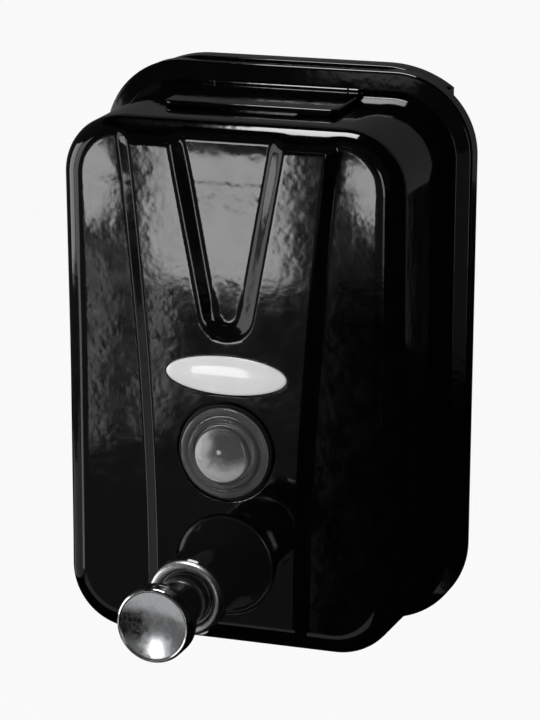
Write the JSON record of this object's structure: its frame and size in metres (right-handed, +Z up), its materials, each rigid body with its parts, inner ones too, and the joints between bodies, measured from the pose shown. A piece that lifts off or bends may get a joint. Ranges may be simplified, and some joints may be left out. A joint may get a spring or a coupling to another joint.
{
  "type": "soap dispenser",
  "caption": "Wall-mounted liquid soap dispenser of coated sheet steel with a push-button pump, a hinged filling lid and a round sight window.",
  "frame": {"origin": "centre of the wall face, the back of the wall plate", "axes": "+X to the right as seen from the front, +Y into the wall, +Z up"},
  "size_m": [0.129, 0.1402, 0.1892],
  "materials": {
    "black_coat": "gloss black powder coat with a slight orange peel on pressed steel",
    "gloss_black": "polished moulded plastic",
    "satin_black": "satin moulded plastic",
    "chrome_trim": "polished chrome plating on plastic",
    "steel": "plain stainless steel",
    "black_rubber": "soft black seal rubber",
    "white_plastic": "smooth white plastic",
    "clear_plastic": "clear polished plastic",
    "natural_plastic": "natural translucent plastic"
  },
  "bodies": {
    "dispenser": {"housing": "black_coat", "rear_cover": "black_coat", "wall_plate": "black_coat", "hinge_pin": "steel", "badge": "white_plastic", "sight_lens": "clear_plastic", "sight_gasket": "black_rubber", "sight_nut": "satin_black", "pump_sleeve": "gloss_black", "pump_gasket": "black_rubber", "pump_nut": "satin_black", "collar_ring": "chrome_trim", "stem_guide": "natural_plastic", "return_spring": "steel", "inlet_valve": "natural_plastic", "pickup_tube": "natural_plastic", "outlet_nozzle": "natural_plastic", "outlet_flap": "black_rubber"},
    "filling_lid": {"lid": "black_coat", "lid_gasket": "black_rubber"},
    "plunger": {"push_knob": "chrome_trim", "knob_collar": "satin_black", "push_stem": "gloss_black", "piston": "natural_plastic", "piston_seal": "black_rubber"},
    "ball": {"inlet_ball": "steel"}
  },
  "joints": [
    {"name": "lid_hinge", "type": "hinge", "parent": "dispenser", "child": "filling_lid", "pos_m": [0, -0.02046, 0.08682], "axis": [-1, 0, 0], "range_deg": [0, 121]},
    {"name": "pump_push", "type": "slide", "parent": "dispenser", "child": "plunger", "axis": [0, 1, 0], "range_m": [0, 0.016], "stiffness_N_per_m": 400, "springref_m": -0.012, "deforming": ["return_spring"]},
    {"name": "inlet_ball_lift", "type": "slide", "parent": "dispenser", "child": "ball", "axis": [0, 0, 1], "range_m": [0, 0.002]}
  ]
}
